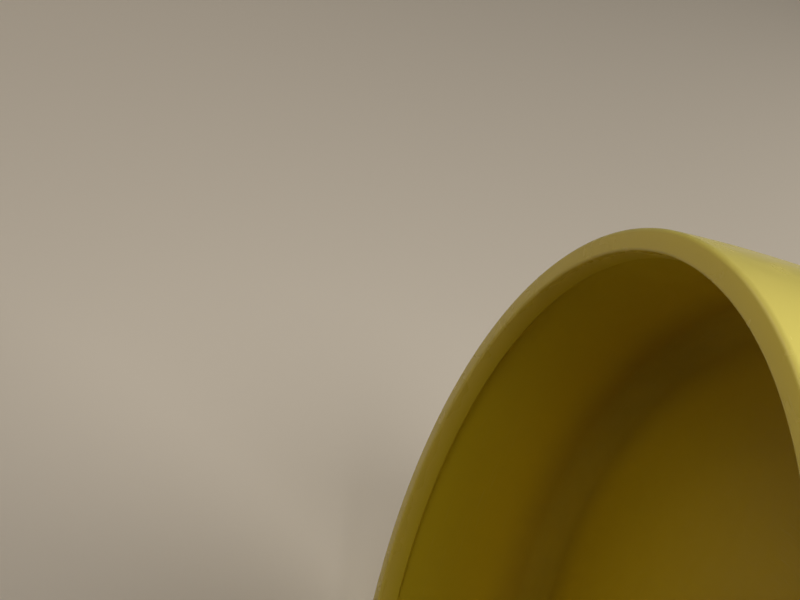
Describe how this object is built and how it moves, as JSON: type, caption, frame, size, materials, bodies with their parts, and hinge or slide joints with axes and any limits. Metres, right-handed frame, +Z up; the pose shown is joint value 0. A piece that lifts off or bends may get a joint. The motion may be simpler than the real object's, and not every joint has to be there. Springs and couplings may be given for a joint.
{
  "type": "hamster exercise wheel",
  "caption": "Hamster exercise wheel: a closed-backed plastic drum, open at the front, that spins on an axle bolt held by an upright on a flat base with rubber feet.",
  "frame": {"origin": "on the floor that the rubber feet stand on, under the middle of the whole object", "axes": "+Z up, +Y from the drum's open mouth to its upright, along the axle, and +X to the right of someone who looks into the mouth"},
  "size_m": [0.281, 0.132, 0.2965],
  "materials": {
    "yellow_plastic": "moulded yellow plastic with a smooth, glossy, lightly worn surface",
    "zinc_steel": "zinc-plated steel, satin",
    "bearing_steel": "ground bearing steel",
    "rubber": "matt black rubber"
  },
  "bodies": {
    "support": {"upright": "yellow_plastic", "base_plate": "yellow_plastic", "axle_bolt": "zinc_steel", "bearing_inner_front": "bearing_steel", "bearing_inner_back": "bearing_steel", "bearing_spacer": "bearing_steel", "rear_spacer": "zinc_steel", "axle_washer": "zinc_steel", "axle_nut": "zinc_steel", "foot_front_left": "rubber", "foot_front_right": "rubber", "foot_back_left": "rubber", "foot_back_right": "rubber", "upright_screw_1": "zinc_steel", "upright_screw_2": "zinc_steel", "upright_screw_3": "zinc_steel", "upright_screw_4": "zinc_steel"},
    "wheel": {"drum": "yellow_plastic", "hub_cap": "yellow_plastic", "bearing_outer_front": "bearing_steel", "bearing_outer_back": "bearing_steel"}
  },
  "joints": [
    {"name": "wheel_spin", "type": "hinge", "parent": "support", "child": "wheel", "pos_m": [0, 0, 0.156], "axis": [0, 1, 0], "continuous": true}
  ]
}
